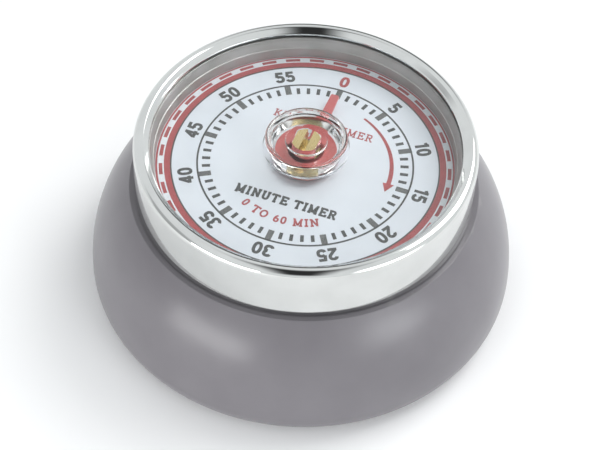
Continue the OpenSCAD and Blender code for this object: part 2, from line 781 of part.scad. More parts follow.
// Arm with a round boss on the hammer arbor
module arm_on_arbor(to, width, z, h) {
    difference() {
        union() {
            bar(at_hammer, to, width, z, h);
            at(at_hammer, z) cylinder(r = 1.9, h = h, $fn = 48);
        }
        at(at_hammer, z - fine) cylinder(r = hammer_arbor_r, h = h + 2 * fine, $fn = 32);
    }
}

module hammer_arm() {
    color([0.7, 0.7, 0.72]) arm_on_arbor(at_head, 1.8, arm_z, arm_t);
}

module hammer_head() {
    color([0.8, 0.65, 0.35]) at(at_head, arm_z - 2.2) cylinder(r = hammer_head_r, h = 2.2, $fn = 48);
}

module hammer_pallet() {
    reach = at_strike - at_hammer;
    color([0.7, 0.7, 0.72])
        arm_on_arbor(at_hammer + reach * (1 - 4.4 / norm(reach)), 1, star_z, 0.7);
}

module trip_lever() {
    color([0.7, 0.7, 0.72]) union() {
        arm_on_arbor(at_trip, 2 * trip_tip_r, cam_z, cam_t);
        bar(at_trip, polar(nose_r, trip_dir), 2 * trip_tip_r, cam_z, cam_t);
    }
}

base_shell();
bezel();
lens();
lens_gasket();
reflector_ring();
dial_plate();
back_cover();
cover_screws();
magnets();
gong_post();
gong();
gong_nut();
front_plate();
back_plate();
pillars();
pillar_nuts();
movement_screws();
shaft_bush();
spring_post();
mainspring();
hairspring();
hairspring_stud();
knob();
pointer();
main_arbor();
arbor_clip();
trip_cam();
ratchet_wheel();
main_wheel();
click_pawl();
click_rivet();
click_spring();
second_wheel();
second_arbor();
third_wheel();
third_arbor();
escape_wheel();
escape_arbor();
pallet_lever();
pallet_pins();
pallet_arbor();
balance_wheel();
balance_staff();
impulse_pin();
strike_wheel();
strike_arbor();
hammer_arbor();
hammer_arm();
hammer_head();
hammer_pallet();
trip_lever();
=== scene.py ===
"""Looks of the wind-up kitchen timer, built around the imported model.

Lengths are in millimetres until a mesh is made.
"""
import math

import bmesh
import bpy
from mathutils import Matrix, Vector
from mathutils.geometry import delaunay_2d_cdt


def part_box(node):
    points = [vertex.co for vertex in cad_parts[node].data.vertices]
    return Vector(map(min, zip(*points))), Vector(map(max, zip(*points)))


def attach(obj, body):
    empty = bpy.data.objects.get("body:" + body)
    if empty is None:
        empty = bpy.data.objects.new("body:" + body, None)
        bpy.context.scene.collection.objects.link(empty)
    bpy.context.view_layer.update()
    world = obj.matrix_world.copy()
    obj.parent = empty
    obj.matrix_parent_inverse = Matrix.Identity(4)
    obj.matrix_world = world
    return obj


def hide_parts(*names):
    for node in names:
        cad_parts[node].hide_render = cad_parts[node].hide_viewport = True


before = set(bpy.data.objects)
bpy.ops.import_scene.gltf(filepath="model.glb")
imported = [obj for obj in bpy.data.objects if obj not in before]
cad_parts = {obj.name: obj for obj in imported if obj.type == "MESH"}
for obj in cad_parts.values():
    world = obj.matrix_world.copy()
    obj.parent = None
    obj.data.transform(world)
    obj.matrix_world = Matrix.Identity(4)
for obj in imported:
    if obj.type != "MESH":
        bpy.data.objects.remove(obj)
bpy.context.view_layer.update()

scene = bpy.context.scene

MM = 0.001
SEGMENTS = 192            # flats around a turned piece


# ---- camera ----

def make_camera():
    camera = bpy.data.objects.new("camera", bpy.data.cameras.new("camera"))
    scene.collection.objects.link(camera)
    camera.data.lens = 107.4
    camera.data.clip_start = 0.01
    camera.location = (0.063025, -0.196194, 0.254802)
    camera.rotation_euler = [math.radians(a) for a in (40.196, -1.749, 19.990)]
    scene.camera = camera


# ---- sizes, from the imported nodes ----

def reach(node):
    """Outer radius, lowest and highest z of a node that is round about the axis."""
    low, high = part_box(node)
    return high.x / MM, low.z / MM, high.z / MM


CASE_R, _, NECK_TOP_Z = reach("base_shell")
RIM_R, RIM_LOW_Z, RIM_Z = reach("bezel")
LENS_R, LENS_Z, LENS_TOP_Z = reach("lens")
RING_R, DIAL_Z, _ = reach("reflector_ring")
COVER_R, _, _ = reach("back_cover")
KNOB_R, KNOB_Z, KNOB_TOP_Z = reach("knob")

BELLY_Z = 4.5             # height of the base's widest line
FOOT_R = 5.2              # radius of the curve under it
FLANK_R = 27              # radius of the curve over it
WALL = 1.2
SHOULDER_Z = 22.9
NECK_R = 28.7
NECK_IN_R = 27.7
LEDGE_IN_R = 22.5
LEDGE_T = 1.5
DIAL_T = 0.5
COVER_TOP_Z = 2.2
COVER_SEAT_Z = COVER_TOP_Z + 1   # top of the flange that the back cover closes
RIM_OPENING_R = 26.6
LENS_HOLE_R = 7.3
SHAFT_R = 2.5
SHAFT_FLAT = 2.05         # from the axis to each of the shaft's two flats
BORE_GAP = 0.03           # air between the shaft and the knob's bore
SCREW_R = 30              # pitch radius of the back cover's screws
SCREW_DIRS = (90, 210, 330)
EAR_R = 24.6              # pitch radius of the movement's screws
EAR_DIRS = (30, 150, 270)


# ---- materials ----

def noise(tree, size, stretch=(1, 1, 1), detail=3):
    """Noise with lumps about size across, drawn out along the axes that have the larger stretch."""
    nodes, links = tree.nodes, tree.links
    place = nodes.new("ShaderNodeTexCoord")
    mapping = nodes.new("ShaderNodeMapping")
    mapping.inputs["Scale"].default_value = [1 / (MM * size * s) for s in stretch]
    texture = nodes.new("ShaderNodeTexNoise")
    texture.inputs["Scale"].default_value = 1
    texture.inputs["Detail"].default_value = detail
    links.new(place.outputs["Object"], mapping.inputs["Vector"])
    links.new(mapping.outputs["Vector"], texture.inputs["Vector"])
    return texture.outputs["Fac"]


def spread(tree, value, low, high, start=0.3, end=0.7):
    """The value from start to end spread over low to high."""
    node = tree.nodes.new("ShaderNodeMapRange")
    node.inputs["From Min"].default_value = start
    node.inputs["From Max"].default_value = end
    node.inputs["To Min"].default_value = low
    node.inputs["To Max"].default_value = high
    tree.links.new(value, node.inputs["Value"])
    return node.outputs["Result"]


def blend_colours(tree, value, first, second):
    node = tree.nodes.new("ShaderNodeMix")
    node.data_type = "RGBA"
    tree.links.new(value, node.inputs["Factor"])
    first_colour, second_colour, mixed_colour = node.inputs[6], node.inputs[7], node.outputs[2]
    for socket, colour in ((first_colour, first), (second_colour, second)):
        if isinstance(colour, bpy.types.NodeSocket):
            tree.links.new(colour, socket)
        else:
            socket.default_value = (*colour, 1)
    return mixed_colour


def surface(name, dark, light, rough, size=4, relief=0.01, relief_size=0.4, stretch=(1, 1, 1),
            worn=None, **sockets):
    """Principled material: its colour wanders from dark to light in lumps of one size, its roughness
    between two values, it has a fine relief of some height, and its edges can show a worn colour.
    An edge is where the pointiness, 0.5 on a flat face, passes 0.53."""
    material = bpy.data.materials.new(name)
    material.use_nodes = True
    tree = material.node_tree
    shader = tree.nodes["Principled BSDF"]
    colour = blend_colours(tree, spread(tree, noise(tree, size), 0, 1), dark, light)
    if worn:
        geometry = tree.nodes.new("ShaderNodeNewGeometry")
        edge = spread(tree, geometry.outputs["Pointiness"], 0, 0.8, 0.53, 0.62)
        colour = blend_colours(tree, edge, colour, worn)
    tree.links.new(colour, shader.inputs["Base Color"])
    fine = noise(tree, relief_size, stretch, 4)
    tree.links.new(spread(tree, fine, *rough, 0.1, 0.9), shader.inputs["Roughness"])
    bump = tree.nodes.new("ShaderNodeBump")
    bump.inputs["Distance"].default_value = relief * MM
    tree.links.new(fine, bump.inputs["Height"])
    tree.links.new(bump.outputs["Normal"], shader.inputs["Normal"])
    for socket, value in sockets.items():
        shader.inputs[socket.replace("_", " ")].default_value = value
    return material


def clear_solid(name, tint, rough, relief):
    """Clear plastic or glass that bends what is behind it and lets the lamps' light through."""
    material = surface(name, tint, [min(1, c * 1.03) for c in tint], rough, size=5, relief=relief,
                       relief_size=1.5, Transmission_Weight=1, IOR=1.49)
    tree = material.node_tree
    nodes, links = tree.nodes, tree.links
    path = nodes.new("ShaderNodeLightPath")
    through = nodes.new("ShaderNodeBsdfTransparent")
    through.inputs["Color"].default_value = (0.93, 0.93, 0.92, 1)
    mix = nodes.new("ShaderNodeMixShader")
    links.new(path.outputs["Is Shadow Ray"], mix.inputs["Fac"])
    links.new(nodes["Principled BSDF"].outputs["BSDF"], mix.inputs[1])
    links.new(through.outputs["BSDF"], mix.inputs[2])
    links.new(mix.outputs["Shader"], nodes["Material Output"].inputs["Surface"])
    return material


def make_finishes():
    """One material for each slot."""
    return {
        "grey_paint": surface("grey_paint", (0.153, 0.144, 0.157), (0.170, 0.161, 0.174), (0.27, 0.30),
                              size=9, relief=0.0002, relief_size=2.5, worn=(0.2, 0.195, 0.2),
                              Specular_IOR_Level=0.32, Coat_Weight=0.1, Coat_Roughness=0.2),
        "chrome_rim": surface("chrome_rim", (0.63, 0.64, 0.63), (0.69, 0.70, 0.69), (0.03, 0.09), size=6,
                              relief=0.004, relief_size=2.5, Metallic=1),
        "clear_lens": clear_solid("clear_lens", (0.96, 0.97, 0.965), (0, 0.02), 0.0005),
        "black_rubber": surface("black_rubber", (0.012, 0.012, 0.012), (0.03, 0.03, 0.03), (0.55, 0.75)),
        "satin_ring": surface("satin_ring", (0.36, 0.36, 0.34), (0.46, 0.45, 0.44), (0.4, 0.55), size=5,
                              relief=0.006, relief_size=0.25, stretch=(30, 30, 1), Metallic=1),
        "dial_white": surface("dial_white", (0.60, 0.64, 0.70), (0.64, 0.68, 0.74), (0.35, 0.5), size=8,
                              relief=0.002, relief_size=0.3),
        "back_plastic": surface("back_plastic", (0.018, 0.018, 0.019), (0.035, 0.035, 0.036), (0.42, 0.6),
                                size=3, relief=0.02, relief_size=0.25, worn=(0.08, 0.08, 0.08)),
        "screw_steel": surface("screw_steel", (0.45, 0.45, 0.47), (0.6, 0.6, 0.61), (0.22, 0.38), size=0.8,
                               relief=0.01, relief_size=0.15, worn=(0.8, 0.8, 0.8), Metallic=1),
        "magnet_nickel": surface("magnet_nickel", (0.5, 0.49, 0.46), (0.62, 0.61, 0.57), (0.16, 0.3), size=2,
                                 relief=0.008, relief_size=0.3, worn=(0.3, 0.28, 0.25), Metallic=1),
        "gong_steel": surface("gong_steel", (0.5, 0.5, 0.49), (0.64, 0.63, 0.61), (0.2, 0.34), size=5,
                              relief=0.01, relief_size=0.3, stretch=(12, 12, 1), Metallic=1),
        "nut_brass": surface("nut_brass", (0.55, 0.4, 0.16), (0.7, 0.54, 0.25), (0.25, 0.42), size=0.8,
                             relief=0.01, relief_size=0.15, worn=(0.9, 0.75, 0.42), Metallic=1),
        "plate_brass": surface("plate_brass", (0.6, 0.45, 0.19), (0.76, 0.6, 0.3), (0.24, 0.4), size=4,
                               relief=0.008, relief_size=0.2, stretch=(1, 14, 1),
                               worn=(0.9, 0.76, 0.45), Metallic=1),
        "pillar_steel": surface("pillar_steel", (0.48, 0.48, 0.49), (0.6, 0.6, 0.6), (0.22, 0.36), size=1,
                                relief=0.008, relief_size=0.15, stretch=(9, 9, 1),
                                worn=(0.8, 0.8, 0.8), Metallic=1),
        "spring_steel": surface("spring_steel", (0.10, 0.12, 0.19), (0.2, 0.22, 0.3), (0.2, 0.35), size=2,
                                relief=0.006, relief_size=0.2, Metallic=1),
        "clear_knob": clear_solid("clear_knob", (0.95, 0.95, 0.92), (0.03, 0.08), 0.004),
        "pointer_red": surface("pointer_red", (0.24, 0.015, 0.019), (0.31, 0.023, 0.028), (0.25, 0.38),
                               size=2, relief=0.004, relief_size=0.25, worn=(0.45, 0.07, 0.07),
                               Coat_Weight=0.3),
        "shaft_brass": surface("shaft_brass", (0.27, 0.2, 0.075), (0.4, 0.31, 0.13), (0.2, 0.36), size=0.8,
                               relief=0.01, relief_size=0.2, stretch=(1, 6, 1),
                               worn=(0.7, 0.58, 0.32), Metallic=1),
        "arbor_steel": surface("arbor_steel", (0.5, 0.5, 0.52), (0.64, 0.64, 0.66), (0.15, 0.3), size=0.8,
                               relief=0.006, relief_size=0.12, stretch=(8, 8, 1),
                               worn=(0.82, 0.82, 0.84), Metallic=1),
        "wheel_brass": surface("wheel_brass", (0.64, 0.48, 0.2), (0.8, 0.64, 0.32), (0.22, 0.36), size=2,
                               relief=0.006, relief_size=0.15, worn=(0.95, 0.8, 0.5), Metallic=1),
        "lever_steel": surface("lever_steel", (0.42, 0.42, 0.43), (0.56, 0.56, 0.57), (0.24, 0.38), size=1,
                               relief=0.008, relief_size=0.15, worn=(0.75, 0.75, 0.76), Metallic=1),
    }


def make_inks():
    return {
        "ink_black": surface("ink_black", (0.012, 0.014, 0.014), (0.025, 0.028, 0.028), (0.45, 0.6), size=1,
                             relief=0.003, relief_size=0.1),
        "ink_grey": surface("ink_grey", (0.055, 0.06, 0.058), (0.085, 0.09, 0.088), (0.45, 0.6), size=0.6,
                            relief=0.003, relief_size=0.1),
        "ink_red": surface("ink_red", (0.28, 0.019, 0.023), (0.36, 0.03, 0.034), (0.4, 0.55), size=1.5,
                           relief=0.003, relief_size=0.1),
        "ink_white": surface("ink_white", (0.62, 0.65, 0.7), (0.68, 0.71, 0.75), (0.4, 0.55), size=1,
                             relief=0.003, relief_size=0.1),
    }


# ---- turned pieces ----

def rounded(corners, steps=5):
    """Points of a closed outline. A corner is (radius, height) or (radius, height, fillet radius)."""
    points = []
    for i, (x, y, *fillet) in enumerate(corners):
        here = Vector((x, y))
        if not fillet:
            points.append(here)
            continue
        back = Vector(corners[i - 1][:2]) - here
        on = Vector(corners[(i + 1) % len(corners)][:2]) - here
        half = back.angle(on) / 2
        length = min(fillet[0] / math.tan(half), 0.49 * back.length, 0.49 * on.length)
        back, on = back.normalized(), on.normalized()
        centre = here + (back + on).normalized() * length / math.cos(half)
        start, end = here + back * length - centre, here + on * length - centre
        for k in range(steps + 1):
            points.append(centre + start.slerp(end, k / steps) * start.length)
    return points


def arc(centre, radius, first, last, steps=16):
    """Points along an arc, between two angles in degrees."""
    angles = [math.radians(first + (last - first) * k / steps) for k in range(steps + 1)]
    return [(centre[0] + radius * math.cos(a), centre[1] + radius * math.sin(a)) for a in angles]


def lathe(outline, segments=SEGMENTS):
    """Mesh of a closed outline turned about the axis. A radius may be a function of the turn angle."""
    mesh = bmesh.new()
    rows = []
    for k in range(segments):
        turn = 2 * math.pi * k / segments
        row = []
        for radius, height in outline:
            r = radius(turn) if callable(radius) else radius
            row.append(mesh.verts.new((r * math.cos(turn) * MM, r * math.sin(turn) * MM, height * MM)))
        rows.append(row)
    for k, row in enumerate(rows):
        after = rows[(k + 1) % segments]
        for i in range(len(row)):
            j = (i + 1) % len(row)
            mesh.faces.new((row[i], after[i], after[j], row[j]))
    bmesh.ops.recalc_face_normals(mesh, faces=mesh.faces)
    return mesh


def piece(name, mesh, body, material, replaces=(), sharp=30):
    """Object from a bmesh, smooth up to a sharp angle, that rides on a body."""
    data = bpy.data.meshes.new(name)
    mesh.to_mesh(data)
    mesh.free()
    data.shade_smooth()
    data.set_sharp_from_angle(angle=math.radians(sharp))
    data.materials.append(material)
    made = bpy.data.objects.new(name, data)
    scene.collection.objects.link(made)
    made.modifiers.new("normals", "WEIGHTED_NORMAL").keep_sharp = True
    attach(made, body)
    if replaces:
        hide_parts(*replaces)
    return made


def base_outline():
    foot = (CASE_R - FOOT_R, BELLY_Z)
    side = (CASE_R - FLANK_R, BELLY_Z)
    inner_r, inner_foot = FLANK_R - WALL, FOOT_R - WALL
    edge_z = SHOULDER_Z - 0.3
    shoulder = math.degrees(math.asin((edge_z - BELLY_Z) / FLANK_R))
    inner_top = math.degrees(math.asin((SHOULDER_Z - WALL - BELLY_Z) / inner_r))
    inner_low = math.degrees(math.asin((COVER_SEAT_Z - BELLY_Z) / inner_foot))
    ledge_z = DIAL_Z - DIAL_T
    shoulder_r = side[0] + FLANK_R * math.cos(math.radians(shoulder))
    return (
        rounded([(COVER_R + 0.1, COVER_TOP_Z), (COVER_R + 0.1, 0, 0.15), (CASE_R, 0)])[:-1]
        + arc(foot, FOOT_R, -58, 0, 14)
        + arc(side, FLANK_R, 2, shoulder, 40)
        + rounded([(shoulder_r, edge_z), (shoulder_r - 0.25, SHOULDER_Z, 0.2), (NECK_R, SHOULDER_Z)])[1:]
        + [(NECK_R, NECK_TOP_Z), (NECK_IN_R, NECK_TOP_Z), (NECK_IN_R, ledge_z), (LEDGE_IN_R, ledge_z),
           (LEDGE_IN_R, ledge_z - LEDGE_T), (NECK_IN_R, ledge_z - LEDGE_T), (NECK_IN_R, SHOULDER_Z - WALL)]
        + arc(side, inner_r, inner_top, 3, 24)
        + arc(foot, inner_foot, 0, inner_low, 8)
        + [(COVER_R - 1.1, COVER_SEAT_Z), (COVER_R - 1.1, COVER_TOP_Z)]
    )


def rim_outline():
    inner = NECK_R + 0.05
    foot_z = RIM_LOW_Z - 0.1
    corner_r = 1.3
    corner = (RIM_R - 0.1 - corner_r, RIM_Z - corner_r)
    lip = RIM_OPENING_R
    return (
        [(inner, LENS_TOP_Z), (inner, foot_z + 0.05)]
        + rounded([(inner, foot_z + 0.05), (RIM_R - 0.05, foot_z, 0.12), (RIM_R, foot_z + 0.5, 0.2),
                   (RIM_R - 0.1, corner[1])])[1:-1]
        + arc(corner, corner_r, 0, 115, 28)
        + rounded([(corner[0], RIM_Z), (lip + 0.2, RIM_Z - 0.75, 0.15), (lip, RIM_Z - 0.9, 0.1),
                   (lip, LENS_TOP_Z)])[1:]
    )


def bore(turn):
    """Radius of the knob's bore at a turn angle, which follows the shaft with its two flats."""
    return min(SHAFT_R, SHAFT_FLAT / max(abs(math.cos(turn)), 0.01)) + BORE_GAP


def knob_outline():
    """Solid clear knob with a shallow hollow. A film of air under it keeps the pointer from showing
    through its side."""
    base_r, boss_r, seat_r = 5.75, SHAFT_R + 1, SHAFT_R + 0.5
    boss_z, floor_z, under_z = KNOB_TOP_Z - 0.6, KNOB_TOP_Z - 1, KNOB_Z + 0.06
    return (
        [(bore, KNOB_Z), (seat_r, KNOB_Z), (seat_r, under_z)]
        + rounded([(seat_r, under_z), (base_r - 0.1, under_z, 0.1), (base_r, KNOB_Z + 0.25, 0.1),
                   (KNOB_R, KNOB_TOP_Z - 0.4)])[1:-1]
        + arc((KNOB_R - 0.35, KNOB_TOP_Z - 0.35), 0.35, -10, 150, 14)
        + rounded([(KNOB_R - 0.7, KNOB_TOP_Z - 0.2), (KNOB_R - 1, floor_z + 0.2, 0.3),
                   (KNOB_R - 1.3, floor_z, 0.25), (boss_r + 0.1, floor_z, 0.1), (boss_r, boss_z, 0.2),
                   (SHAFT_R + 0.3, boss_z)])[:-1]
        + [(lambda turn: bore(turn) + 0.1, boss_z), (bore, boss_z - 0.1)]
    )


def reflector_outline():
    lo, hi = 25.7, RIM_OPENING_R - 0.1
    step_z = DIAL_Z + 1.9
    return rounded([
        (lo, DIAL_Z, 0.05), (lo + 0.9, DIAL_Z, 0.1), (hi + 0.5, LENS_Z - 0.6, 0.1),
        (RING_R, LENS_Z - 0.6, 0.1), (RING_R, LENS_Z, 0.1), (hi, LENS_Z, 0.15),
        (lo + 0.3, step_z + 0.1, 0.05), (lo + 0.15, step_z, 0.05)
    ])


def lens_outline():
    return rounded([(LENS_HOLE_R, LENS_Z, 0.1), (LENS_R, LENS_Z), (LENS_R, LENS_TOP_Z),
                    (LENS_HOLE_R, LENS_TOP_Z, 0.2)])


def block(profile, half, turn):
    """Slab between plus and minus half across, whose side view is a profile of radius and height."""
    mesh = bmesh.new()
    ends = [[mesh.verts.new((r * MM, side * half * MM, z * MM)) for r, z in profile] for side in (-1, 1)]
    mesh.faces.new(ends[0])
    mesh.faces.new(ends[1][::-1])
    for i in range(len(profile)):
        mesh.faces.new((ends[0][i - 1], ends[1][i - 1], ends[1][i], ends[0][i]))
    bmesh.ops.recalc_face_normals(mesh, faces=mesh.faces)
    bmesh.ops.transform(mesh, matrix=Matrix.Rotation(math.radians(turn), 4, "Z"), verts=mesh.verts)
    return mesh


def post(radius, bore_r, low, high, bore_top, place, turn):
    """Round post about an upright line at some distance from the axis, with a blind hole from below."""
    outline = [(bore_r, low), (radius, low), (radius, high), (0, high), (0, bore_top), (bore_r, bore_top)]
    mesh = lathe(outline, 48)
    bmesh.ops.remove_doubles(mesh, verts=mesh.verts, dist=1e-7)
    spin = Matrix.Rotation(math.radians(turn), 4, "Z") @ Matrix.Translation((place * MM, 0, 0))
    bmesh.ops.transform(mesh, matrix=spin, verts=mesh.verts)
    return mesh


def union(meshes):
    """One closed mesh round several closed ones."""
    made = []
    for mesh in meshes:
        data = bpy.data.meshes.new("part")
        mesh.to_mesh(data)
        mesh.free()
        made.append(bpy.data.objects.new("part", data))
        scene.collection.objects.link(made[-1])
    for other in made[1:]:
        step = made[0].modifiers.new("union", "BOOLEAN")
        step.operation = "UNION"
        step.solver = "EXACT"
        step.object = other
    bpy.context.view_layer.update()
    joined = bmesh.new()
    joined.from_object(made[0], bpy.context.evaluated_depsgraph_get())
    for item in made:
        data = item.data
        bpy.data.objects.remove(item)
        bpy.data.meshes.remove(data)
    return joined


def base_mesh():
    """Base with the posts and ribs for the back cover's screws, and the posts that carry the movement."""
    rib_top_z = COVER_TOP_Z + 12
    side = (CASE_R - FLANK_R, BELLY_Z)
    reach_r = FLANK_R - WALL / 2
    low, high = (math.degrees(math.asin((z - BELLY_Z) / reach_r)) for z in (COVER_SEAT_Z, rib_top_z))
    start_r = SCREW_R + 1.8
    rib = [(start_r, COVER_SEAT_Z)] + arc(side, reach_r, low, high, 16) + [(start_r, rib_top_z)]
    parts = [lathe(base_outline())]
    for turn in SCREW_DIRS:
        parts.append(post(2.4, 0.9, COVER_TOP_Z, rib_top_z, 11, SCREW_R, turn))
        parts.append(block(rib, 0.8, turn))
    ledge_z = DIAL_Z - DIAL_T
    for turn in EAR_DIRS:
        parts.append(post(2.2, 0.9, ledge_z - 2.4, ledge_z - 0.1, ledge_z - 0.4, EAR_R, turn))
    return union(parts)


def make_turned(finishes):
    piece("painted_base", base_mesh(), "case", finishes["grey_paint"], ["base_shell"])
    for name, outline, body, slot, node in (
        ("chrome_bezel", rim_outline(), "case", "chrome_rim", "bezel"),
        ("dial_reflector", reflector_outline(), "case", "satin_ring", "reflector_ring"),
        ("clear_window", lens_outline(), "case", "clear_lens", "lens"),
        ("clear_cup_knob", knob_outline(), "setting_shaft", "clear_knob", "knob"),
    ):
        piece(name, lathe(outline), body, finishes[slot], [node])


# ---- printed dial ----

DIAL_CIRCLE_R = 18.5
BAND_R = (23.1, 25.62)


def at_angle(angle, radius):
    """Point at a clockwise angle in degrees from the zero mark."""
    a = math.radians(angle)
    return Vector((radius * math.sin(a), radius * math.cos(a)))


def sector(inner, outer, first=0, last=360, step=2):
    """Cells of a ring between two angles. Each radius may be a pair, for its two ends."""
    ends = [r if isinstance(r, tuple) else (r, r) for r in (inner, outer)]
    count = max(1, round((last - first) / step))
    cells = []
    for k in range(count):
        corners = []
        for i, side in ((k, 0), (k + 1, 0), (k + 1, 1), (k, 1)):
            share = i / count
            radius = ends[side][0] + (ends[side][1] - ends[side][0]) * share
            corners.append(at_angle(first + (last - first) * share, radius))
        cells.append(corners)
    return cells


def tick(angle, inner, outer, width):
    along = at_angle(angle, 1)
    side = Vector((along.y, -along.x)) * width / 2
    return [along * inner - side, along * inner + side, along * outer + side, along * outer - side]


def bow(centre, size, first, last, steps=14, square=2.4):
    """Points along part of a rounded box, between two angles counterclockwise from the right."""
    points = []
    for k in range(steps + 1):
        a = math.radians(first + (last - first) * k / steps)
        c, s = math.cos(a), math.sin(a)
        points.append((centre[0] + size[0] * math.copysign(abs(c) ** (2 / square), c),
                       centre[1] + size[1] * math.copysign(abs(s) ** (2 / square), s)))
    return points


# Strokes of each character, as centre lines in a box one unit high, and the box's width
CHARACTERS = {
    "0": (0.56, [bow((0.28, 0.5), (0.19, 0.41), 0, 360, 32)]),
    "1": (0.42, [[(0.28, 0), (0.28, 1)], [(0.31, 0.93), (0.2, 0.84), (0.06, 0.76)]]),
    "2": (0.56, [bow((0.28, 0.7), (0.19, 0.21), 175, -25) + [(0.1, 0.09)], [(0.02, 0.09), (0.54, 0.09)]]),
    "3": (0.56, [bow((0.27, 0.72), (0.18, 0.19), 165, -85), bow((0.27, 0.3), (0.2, 0.21), 85, -165)]),
    "4": (0.58, [[(0.4, 0), (0.4, 1)], [(0.4, 0.95), (0.08, 0.3)], [(0.02, 0.28), (0.57, 0.28)]]),
    "5": (0.56, [[(0.5, 0.91), (0.13, 0.91), (0.1, 0.52)], bow((0.27, 0.33), (0.2, 0.24), 140, -165)]),
    "6": (0.56, [bow((0.28, 0.31), (0.19, 0.22), 0, 360, 28), bow((0.5, 0.31), (0.41, 0.6), 180, 105)]),
    "M": (0.95, [[(0.17, 0), (0.17, 1)], [(0.14, 0.97), (0.475, 0.1)], [(0.475, 0.1), (0.81, 0.97)],
                 [(0.78, 0), (0.78, 1)], [(0.02, 0.06), (0.33, 0.06)], [(0.62, 0.06), (0.93, 0.06)],
                 [(0.02, 0.94), (0.2, 0.94)], [(0.75, 0.94), (0.93, 0.94)]]),
    "I": (0.4, [[(0.2, 0), (0.2, 1)], [(0.03, 0.06), (0.37, 0.06)], [(0.03, 0.94), (0.37, 0.94)]]),
    "N": (0.85, [[(0.18, 0), (0.18, 1)], [(0.18, 0.95), (0.68, 0.05)], [(0.68, 0), (0.68, 1)],
                 [(0.02, 0.06), (0.34, 0.06)], [(0.02, 0.94), (0.2, 0.94)], [(0.52, 0.94), (0.84, 0.94)]]),
    "U": (0.82, [[(0.18, 1), (0.18, 0.35)], bow((0.41, 0.34), (0.23, 0.26), 180, 360),
                 [(0.64, 0.35), (0.64, 1)], [(0.02, 0.94), (0.34, 0.94)], [(0.48, 0.94), (0.8, 0.94)]]),
    "T": (0.78, [[(0.39, 0), (0.39, 1)], [(0.04, 0.92), (0.74, 0.92)], [(0.23, 0.06), (0.55, 0.06)],
                 [(0.07, 0.98), (0.07, 0.74)], [(0.71, 0.98), (0.71, 0.74)]]),
    "E": (0.74, [[(0.19, 0), (0.19, 1)], [(0.03, 0.93), (0.68, 0.93)], [(0.03, 0.07), (0.7, 0.07)],
                 [(0.19, 0.51), (0.52, 0.51)], [(0.65, 0.98), (0.65, 0.76)], [(0.67, 0.02), (0.67, 0.28)],
                 [(0.5, 0.64), (0.5, 0.38)]]),
    "R": (0.82, [[(0.19, 0), (0.19, 1)], [(0.03, 0.93), (0.42, 0.93)],
                 bow((0.42, 0.72), (0.19, 0.21), 90, -90), [(0.42, 0.51), (0.19, 0.51)],
                 [(0.42, 0.51), (0.66, 0.06)], [(0.03, 0.06), (0.35, 0.06)],
                 [(0.58, 0.06), (0.8, 0.06)]]),
    "K": (0.82, [[(0.19, 0), (0.19, 1)], [(0.19, 0.36), (0.66, 0.95)], [(0.34, 0.58), (0.68, 0.05)],
                 [(0.03, 0.06), (0.35, 0.06)], [(0.03, 0.94), (0.35, 0.94)], [(0.55, 0.06), (0.8, 0.06)]]),
    "C": (0.8, [bow((0.43, 0.5), (0.33, 0.42), 48, 312, 28, 2), [(0.66, 0.96), (0.66, 0.7)]]),
    "H": (0.86, [[(0.2, 0), (0.2, 1)], [(0.66, 0), (0.66, 1)], [(0.2, 0.52), (0.66, 0.52)],
                 [(0.04, 0.06), (0.36, 0.06)], [(0.04, 0.94), (0.36, 0.94)],
                 [(0.5, 0.06), (0.82, 0.06)], [(0.5, 0.94), (0.82, 0.94)]]),
    "O": (0.84, [bow((0.42, 0.5), (0.31, 0.42), 0, 360, 32, 2)]),
    " ": (0.34, []),
}


def stroke(line, weight):
    """Cells along a centre line of one weight, with mitred joints."""
    points = [Vector(p) for p in line]
    closed = (points[0] - points[-1]).length < 1e-6
    sides = []
    for i, here in enumerate(points):
        back = points[i - 1] if i else (points[-2] if closed else None)
        on = points[i + 1] if i + 1 < len(points) else (points[1] if closed else None)
        ends = [(a, b) for a, b in ((back, here), (here, on)) if a is not None and b is not None]
        ways = [(b - a).normalized() for a, b in ends]
        normals = [Vector((-w.y, w.x)) for w in ways]
        normal = sum(normals, Vector((0, 0))).normalized()
        sides.append(normal * weight / 2 / max(0.4, normal.dot(normals[0])))
    left = [p - side for p, side in zip(points, sides)]
    right = [p + side for p, side in zip(points, sides)]
    return [[left[i], left[i + 1], right[i + 1], right[i]] for i in range(len(points) - 1)]


def lettering(word, cap, weight, place, gap=0.06, squeeze=1.0):
    """Cells of a word with capitals of one height. place(x) gives where a character's middle foot
    goes, at x along the line from the word's middle, and the direction in which its line runs."""
    width = sum(CHARACTERS[c][0] * squeeze for c in word) + gap * (len(word) - 1)
    x = -width / 2
    cells = []
    for character in word:
        box, lines = CHARACTERS[character]
        foot, along = place((x + box * squeeze / 2) * cap)
        up = Vector((-along.y, along.x))
        for line in lines:
            for cell in stroke([(p[0] * squeeze, p[1]) for p in line], weight):
                cells.append([foot + (along * (p.x - box * squeeze / 2) + up * p.y) * cap for p in cell])
        x += box * squeeze + gap
    return cells


def on_line(origin, along):
    """Along a straight line through a point."""
    return lambda x: (origin + along * x, along)


def on_arc(radius, angle):
    """Along a circle below the middle of the dial, read from the inside, from left to right."""
    def place(x):
        turn = angle - math.degrees(x / radius)
        foot = at_angle(turn, radius)
        return foot, Vector((-foot.y, foot.x)).normalized()
    return place


def signed_area(corners):
    """Positive when the corners run counterclockwise."""
    return sum(a.cross(b) for a, b in zip(corners, corners[1:] + corners[:1])) / 2


